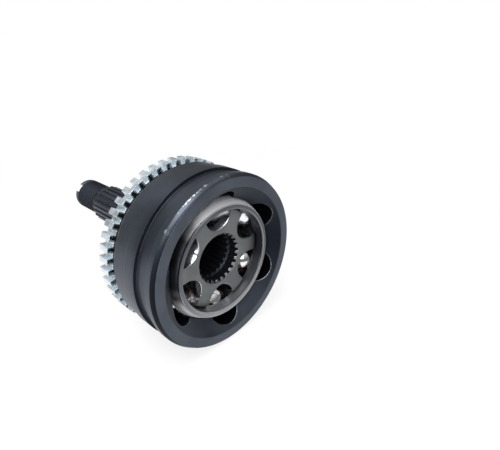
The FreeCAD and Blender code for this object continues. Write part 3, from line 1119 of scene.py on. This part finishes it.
@dataclass(frozen=True)
class Cage:
    """Ball cage: a spherical band with six windows and a counterbored front.

    Heights run along the axis from the joint centre, towards the shaft.
    """

    axis: JointAxis
    balls: BallSet
    outer: float = 33.4
    inner: float = 28.3
    counterbore: float = 26.9
    bore_blend: float = 0.1
    half_width: float = 16.0
    rim: float = 0.4
    bore_chamfer: float = 0.8
    lip_flat: Pair = (0.62, 0.54)  # edge of the front face and foot of its small step
    lip_step: float = 0.12
    face_fade: Pair = (0.3, 0.1)  # distances inside the face where its shading begins and is full
    bore_fade: float = 1.4
    window_half_width: float = 10.43
    window_half_height: float = 9.08
    squareness: float = 6.5
    loop: int = 160
    fine_loop: int = 4001
    spread: tuple[float, float, int] = (0.022, 0.07, 12)  # first two shares off a window, steps
    wall_rows: int = 6
    satin_tone: float = -1.0
    # How far painted shade darkens the window walls, the counterbore and the front face.
    window_tone: float = 0.5
    bore_tone: float = 0.98
    face_tone: float = 0.80
    # Painted dark reflection on one side of the satin skin.
    dark_reflection_side: Pair = (-71.0, 30.0)
    dark_reflection_gain: float = 1.6
    dark_reflection_tone: float = 0.9
    # Painted light on the bore, windows and faces towards the bottom.
    lit_side: Pair = (180.0, 58.0)
    lit_share: float = 0.65

    @property
    def reach(self) -> float:
        """Height at which the outer sphere ends."""
        return self.half_width - self.rim

    @property
    def half_field(self) -> float:
        """Half of the angle that one window's field takes."""
        return math.pi / self.balls.count

    def outer_at(self, height: Array) -> Array:
        """Radius of the outer sphere at a height from the joint centre."""
        return np.sqrt(self.outer ** 2 - height ** 2)

    def inner_at(self, height: Array) -> Array:
        """Radius of the inner wall: the sphere, opened to the counterbore towards the mouth.

        Args:
            height: heights from the joint centre.

        Returns:
            The radii.
        """
        sphere = np.sqrt(self.inner ** 2 - np.minimum(np.abs(height), self.inner - 1) ** 2)
        bore = np.full_like(sphere, self.counterbore)
        return np.where(height < 0, soft_max(sphere, bore, self.bore_blend), sphere)

    def window_loop(self) -> Array:
        """Window outline |y/w|^n + |h/l|^n = 1, at even steps along its length.

        Returns:
            Sideways place and height of its points, one a row.
        """
        turn = np.linspace(0, FULL_TURN, self.fine_loop)
        power = 2 / self.squareness
        side = np.sign(np.cos(turn)) * np.abs(np.cos(turn)) ** power * self.window_half_width
        height = np.sign(np.sin(turn)) * np.abs(np.sin(turn)) ** power * self.window_half_height
        run = np.concatenate([[0], np.cumsum(np.hypot(np.diff(side), np.diff(height)))])
        even = np.linspace(0, run[-1], self.loop + 1)[:-1]
        return np.stack([np.interp(even, run, side), np.interp(even, run, height)], axis=-1)

    def skin(self, radius_at: Callable[[Array], Array], front: float, window: Array,
             border: Array) -> tuple[Array, Array, Array]:
        """One skin of a window's field, spread from the window out to the field's border.

        Args:
            radius_at: gives the skin's radius at a height.
            front: how far the skin reaches towards the mouth.
            window: sideways place and height of the window's outline, a point a row.
            border: azimuth and height of the field's border, a point a row.

        Returns:
            Radius, azimuth and height of the skin's points.
        """
        side, height = window[:, 0:1], window[:, 1:2]
        first, second, steps = self.spread
        share = np.concatenate([[first], np.linspace(second, 1, steps)])[None, :]
        end = np.where(border[:, 1:2] < 0, border[:, 1:2] * front / self.reach, border[:, 1:2])
        turn = (1 - share) * np.arcsin(side / radius_at(height)) + share * border[:, 0:1]
        rise = (1 - share) * height + share * end
        return radius_at(rise), turn, rise

    def build(self, material: Material) -> None:
        """Six equal window fields, each a grid between the window and its sixth of the band.

        Args:
            material: the cage's finish.
        """
        window = self.window_loop()
        side, height = window[:, 0:1], window[:, 1:2]
        square = window / [self.window_half_width, self.window_half_height]
        border = square / np.abs(square).max(axis=1, keepdims=True) * [self.half_field, self.reach]
        outer = self.skin(self.outer_at, self.reach, window, border)
        inner = self.skin(self.inner_at, self.half_width - self.bore_chamfer, window, border)
        inward = np.linspace(0.05, 0.95, self.wall_rows)[None, :]
        wall_radius = self.outer_at(height) * (1 - inward) + self.inner_at(height) * inward
        wall = (wall_radius, np.arcsin(side / wall_radius), height + 0 * inward)
        radius, turn, rise = (np.hstack([outer[i][:, ::-1], wall[i], inner[i]]) for i in range(3))
        tone = np.hstack([np.full_like(skin[0], value) for skin, value in (
            (outer, self.satin_tone), (wall, self.window_tone), (inner, self.bore_tone))])
        turns = 2 * self.half_field * np.arange(self.balls.count)
        grids = [
            Grid(self.axis.place(radius, turn + start, rise + self.balls.joint_centre),
                 wear_and_shade=self.toned(tone, turn + start))
            for start in turns]
        top = np.sort(border[np.abs(border[:, 1] - self.reach) < 1e-6, 0])
        round_turn = (turns[:, None] + top[None, :-1]).reshape(-1, 1)
        grids += [self.rim_grid(round_turn, sign) for sign in (-1, 1)]
        fit(solid_piece("ball_cage", grids), material, "ball_cage", ("cage",))

    def toned(self, tone: Array, turn: Array) -> Array:
        """Values from a plain tone: a painted dark reflection on one side of the satin skin, and
        painted light that lifts the bore, windows and faces towards the bottom.

        Args:
            tone: the plain tone, below 0 on the satin skin.
            turn: the azimuth of each point.

        Returns:
            The values, painted reflection and light included.
        """
        # Painted dark reflection on one side of the satin skin.
        painted_reflection = np.minimum(self.dark_reflection_gain * facing(turn, self.dark_reflection_side), 1.0)
        # Painted light lifts the bore, windows and faces towards the bottom.
        lit = self.lit_share * facing(turn, self.lit_side)
        return np.where(tone < 0, tone * (1 - painted_reflection) + self.dark_reflection_tone * painted_reflection, tone * (1 - lit))

    def rim_grid(self, turn: Array, sign: int) -> Grid:
        """One rim: chamfer, flat face and inner chamfer, carried round the axis.

        Args:
            turn: azimuths of the rim's points, as a column.
            sign: -1 for the rim at the mouth, 1 for the one behind.

        Returns:
            The rim as an open strip.
        """
        face, reach = self.half_width * sign, self.reach * sign
        outer = float(self.outer_at(np.array(reach)))
        corners = [(outer, reach, 0.0), (outer - self.rim, face, 0.12)]
        if sign > 0:
            inner = float(self.inner_at(np.array(reach)))
            corners += [(inner - 0.3, face, 0.12), (inner, reach, 0.0)]
        else:
            lip, foot = self.counterbore + self.bore_chamfer, face + self.bore_chamfer
            corners += [
                (lip + self.lip_flat[0], face, 0.04),
                (lip + self.lip_flat[1], face + self.lip_step, 0.04),
                (lip, face + self.lip_step, 0.12),
                (float(self.inner_at(np.array(foot))), foot, 0.0),
            ]
        outline = rounded(corners)
        radius, height = outline[None, :, 0], outline[None, :, 1]
        flat = smooth_step(np.abs(height), *(self.half_width - fade for fade in self.face_fade))
        inside = smooth_step(radius, self.counterbore + self.bore_fade, self.counterbore)
        rim_edge = float(self.outer_at(np.array(self.half_width))) - self.rim
        outside = smooth_step(radius, rim_edge - 0.1, rim_edge + 0.1) * (1 - flat)
        # Painted shade on the flat face and in the counterbore.
        tone = np.maximum(self.face_tone * flat, self.bore_tone * inside) - outside
        points = self.axis.place(radius, turn, height + self.balls.joint_centre)
        return Grid(points, wear_and_shade=self.toned(np.broadcast_to(tone, points.shape[:2]), turn))


@dataclass(frozen=True)
class InnerRace:
    """Star-shaped inner race with six tracks and a splined bore."""

    axis: JointAxis
    balls: BallSet
    sphere: float = 28.05
    front_half: float = 10.7
    rear_half: float = 11.5
    teeth: Teeth = Teeth(count=24, depth=1.1)
    bore_minor: float = 12.2
    lead: float = 13.6  # radius of the bore's lead cones at the faces
    clip_groove: Pair = (6.0, 2.0)  # distance behind the front face, and width
    clip_radius: float = 14.2
    edge: float = 0.22
    track_blend: float = 0.15
    track_zone: Pair = (0.3, 0.8)  # depths of cut where a track's polish begins
    full_cut: float = 9000.0  # measure inside a ball's tube from which the track is whole
    around: int = 720
    face_rings: int = 6
    outside_rows: int = 44
    lead_zone: Pair = (0.05, 1.8)  # distances from a face between which rows lie closest
    lead_rows: int = 8
    teeth_from: float = 2.4  # distance from a face where the plain teeth begin
    teeth_rows: tuple[int, int] = (8, 5)  # behind the clip groove and in front of it
    step: float = 0.02  # half the length of the groove's steep walls

    @property
    def ends(self) -> Pair:
        """Depths of the front and the rear face."""
        return self.balls.joint_centre - self.front_half, self.balls.joint_centre + self.rear_half

    def star_radius(self, azimuth: Array, depth: Array) -> tuple[Array, Array]:
        """Outside of the star: the sphere, cut down to the tracks where a ball runs.

        Args:
            azimuth: a column of azimuths.
            depth: a row of depths.

        Returns:
            The radius, and 1 where the surface is a track.
        """
        centre = self.balls.joint_centre
        sphere = np.sqrt(self.sphere ** 2 - (depth - centre) ** 2) * np.ones_like(azimuth)
        track, inside = self.balls.track(azimuth, depth, outer=False)
        share = smooth_step(inside, 0.0, self.full_cut)
        cut = np.where(inside > 0, track, sphere) * share + sphere * (1 - share)
        radius = soft_min(sphere, cut, self.track_blend)
        return radius, smooth_step(sphere - radius, *self.track_zone)

    def lead_radius(self, depth: Array) -> Array:
        """Radius of the lead cones, which open the bore towards both faces."""
        front, rear = self.ends
        return self.lead - np.minimum(depth - front, rear - depth)

    def bore_radius(self, azimuth: Array, depth: Array) -> Array:
        """Wall of the bore: teeth, opened by the leads at both faces and by the clip groove.

        Args:
            azimuth: a column of azimuths.
            depth: a row of depths.

        Returns:
            The wall's radius.
        """
        teeth = self.bore_minor + self.teeth.depth * self.teeth.height(azimuth)
        start = self.ends[0] + self.clip_groove[0]
        in_groove = (depth > start) & (depth < start + self.clip_groove[1])
        groove = np.where(in_groove, self.clip_radius, 0)
        return np.maximum(np.maximum(teeth, self.lead_radius(depth)), groove)

    def face(self, azimuth: Array, depth: float) -> Array:
        """Radii across one flat face, from the lip of the bore out to the star's edge.

        Args:
            azimuth: a column of azimuths.
            depth: its depth.

        Returns:
            The radii, a ring a column.
        """
        rim, _ = self.star_radius(azimuth, np.array([[depth]]))
        lip = np.full_like(rim, self.lead + 0.1)
        return lip + (rim - self.edge - lip) * np.linspace(0, 1, self.face_rings)[None, :]

    def build(self, material: Material) -> None:
        """Race as one closed ring of rows: outside, rear face, bore and front face.

        Args:
            material: its finish.
        """
        azimuth = azimuths(self.around)
        front, rear = self.ends
        outside = np.concatenate([
            [front + self.edge], np.linspace(front + 0.5, rear - 0.5, self.outside_rows),
            [rear - self.edge]])[None, :]
        star, track = self.star_radius(azimuth, outside)
        groove = front + self.clip_groove[0]
        groove_end = groove + self.clip_groove[1]
        step, (first, last) = self.step, self.lead_zone
        bore = np.concatenate([
            np.linspace(rear - first, rear - last, self.lead_rows),
            np.linspace(rear - self.teeth_from, groove_end + 3 * step, self.teeth_rows[0]),
            [groove_end + step, groove_end - step, groove + step, groove - step],
            np.linspace(groove - 5 * step, front + self.teeth_from, self.teeth_rows[1]),
            np.linspace(front + last, front + first, self.lead_rows),
        ])[None, :]
        bore_wall = self.bore_radius(azimuth, bore)
        rear_face, front_face = self.face(azimuth, rear)[:, ::-1], self.face(azimuth, front)
        radius = np.hstack([star, rear_face, bore_wall, front_face])
        depth = np.concatenate([outside[0], np.full(self.face_rings, rear),
                                bore[0], np.full(self.face_rings, front)])[None, :]
        # Value 2 darkens the bore's teeth behind the lead cones.
        dark_bore = np.where(bore_wall > self.lead_radius(bore) + step, 2.0, 0.0)
        zone = np.hstack([track, np.zeros_like(rear_face), dark_bore, np.zeros_like(front_face)])
        grid = Grid(self.axis.place(radius, azimuth, depth), wrap_columns=True, wear_and_shade=zone)
        fit(solid_piece("race_star", [grid]), material, "star", ("inner_race",))


# --- Studio ----------------------------------------------------------------------------------

def direction(azimuth: float, elevation: float) -> Vector:
    """Unit vector from the joint towards the place that two angles in degrees give.

    Args:
        azimuth: angle about the vertical, 0 in front of the mouth.
        elevation: angle above the horizon.

    Returns:
        The vector.
    """
    turn, tilt = math.radians(azimuth), math.radians(elevation)
    level = math.cos(tilt)
    return Vector((math.sin(turn) * level, -math.cos(turn) * level, math.sin(tilt)))


@dataclass(frozen=True)
class Lamp:
    """Square soft light aimed at the joint, placed as the camera is."""

    name: str
    azimuth: float
    elevation: float
    distance: float  # in metres, as the size
    size: float
    watts: float

    def build(self, target: Vector) -> None:
        """Light at its distance from the point it is aimed at.

        Args:
            target: that point in metres.
        """
        back = direction(self.azimuth, self.elevation)
        data = bpy.data.lights.new(self.name, "AREA")
        data.size = self.size
        data.energy = self.watts
        lamp = linked(self.name, data)
        lamp.location = target + back * self.distance
        lamp.rotation_euler = (-back).to_track_quat("-Z", "Y").to_euler()


@dataclass(frozen=True)
class Studio:
    """Pale floor, soft light and the camera."""

    axis: JointAxis
    azimuth: float = -47.21
    elevation: float = 25.33
    sensor: float = 36.0
    focal_share: float = 0.77  # focal length as a share of the image's width
    clip_start: float = 0.005
    mouth_right: float = -8.98  # mouth centre from the camera, in millimetres
    mouth_down: float = 19.27
    mouth_ahead: float = 187.8
    floor_drop: float = 45.4  # floor below the joint's axis
    floor_reach: float = 6.0  # in metres
    floor_grey: float = 0.90
    glow_share: float = 0.78  # how far the floor is lifted to white round the joint
    glow_fade: Pair = (0.12, 0.45)  # distances between which the rest of the way is made up
    horizon: float = 0.17  # strength of the surroundings at eye level
    zenith: float = 0.95  # and overhead
    sky_from: float = 0.25
    lamps: tuple[Lamp, ...] = (
        Lamp("upper_left", azimuth=-42.0, elevation=43.0, distance=0.70, size=0.50, watts=4.0),
        Lamp("overhead", azimuth=-75.0, elevation=72.0, distance=0.80, size=0.40, watts=3.0),
        Lamp("low_left", azimuth=-60.0, elevation=4.0, distance=0.80, size=0.12, watts=1.6))

    def camera(self) -> None:
        """Camera that looks along the view direction with the mouth centre where it belongs."""
        turn = math.radians(self.azimuth)
        ahead = -direction(self.azimuth, self.elevation)
        right = Vector((math.cos(turn), math.sin(turn), 0.0))
        up = right.cross(ahead)
        mouth = Vector((self.axis.x, self.axis.mouth_y, self.axis.z))
        eye = mouth - MM * (
            right * self.mouth_right - up * self.mouth_down + ahead * self.mouth_ahead)
        data = bpy.data.cameras.new("camera")
        data.sensor_width = self.sensor
        data.sensor_fit = "HORIZONTAL"
        data.lens = self.sensor * self.focal_share
        data.clip_start = self.clip_start
        camera = linked("camera", data)
        rotation = Matrix((right, up, -ahead)).transposed()
        camera.matrix_world = Matrix.Translation(eye) @ rotation.to_4x4()
        bpy.context.scene.camera = camera

    def floor(self) -> None:
        """Pale floor that stays white where nothing shades it."""
        shader = Shader("pale_floor")
        matt = shader.add("BsdfDiffuse", {}, {"Color": colour((self.floor_grey,) * 3)})
        glow = shader.add("Emission", {}, {"Color": colour(WHITE), "Strength": 1.0})
        away = shader.add("VectorMath", {"operation": "LENGTH"}, {0: shader.place()}, "Value")
        lifted = away.ramp(*self.glow_fade) * (1 - self.glow_share) + self.glow_share
        share = shader.rays("Camera", "Glossy", "Transmission") * lifted
        shader.add_output(shader.add("MixShader", {}, {0: share, 1: matt, 2: glow}))
        reach, level = self.floor_reach, self.axis.z - MM * self.floor_drop
        mesh = bpy.data.meshes.new("floor")
        corners = [(x, y, level) for x, y in (
            (-reach, -reach), (reach, -reach), (reach, reach), (-reach, reach))]
        mesh.from_pydata(corners, [], [(0, 1, 2, 3)])
        mesh.materials.append(shader.owner)
        floor = linked("floor", mesh)

    def world(self) -> None:
        """White to the camera; for light and reflections dark at the horizon and paler above."""
        world = bpy.data.worlds.new("studio")
        bpy.context.scene.world = world
        shader = Shader("studio", world)
        seen = shader.rays("Camera", "Transmission")
        view = shader.add("TexCoord", output="Generated")
        up = shader.add("SeparateXYZ", {}, {"Vector": view}, "Z")
        sky = up.ramp(self.sky_from, 1.0) * (self.zenith - self.horizon) + self.horizon
        shader.add_output(shader.add("Background", {}, {
            "Color": colour(WHITE), "Strength": seen + sky * (1.0 - seen)}))

    def build(self) -> None:
        """Camera, floor, world and lamps."""
        bpy.context.scene.view_settings.view_transform = "Standard"
        self.camera()
        self.floor()
        self.world()
        for lamp in self.lamps:
            lamp.build(Vector((self.axis.x, 0.0, self.axis.z)))


def main() -> None:
    """Build the pieces in order."""
    logging.basicConfig(level=logging.INFO, format="%(name)s: %(message)s")
    axis = JointAxis.from_frame()
    balls = BallSet()
    phosphate = Phosphate().build()
    Bell(axis, balls).build(phosphate)
    StubShaft(axis).build(phosphate)
    SpeedRing(axis).build(ZincPlate().build())
    Cage(axis, balls).build(GroundSteel().build())
    InnerRace(axis, balls).build(ForgedSteel().build())
    balls.build(BallSteel().build())
    Studio(axis).build()


if __name__ == "__main__":
    main()
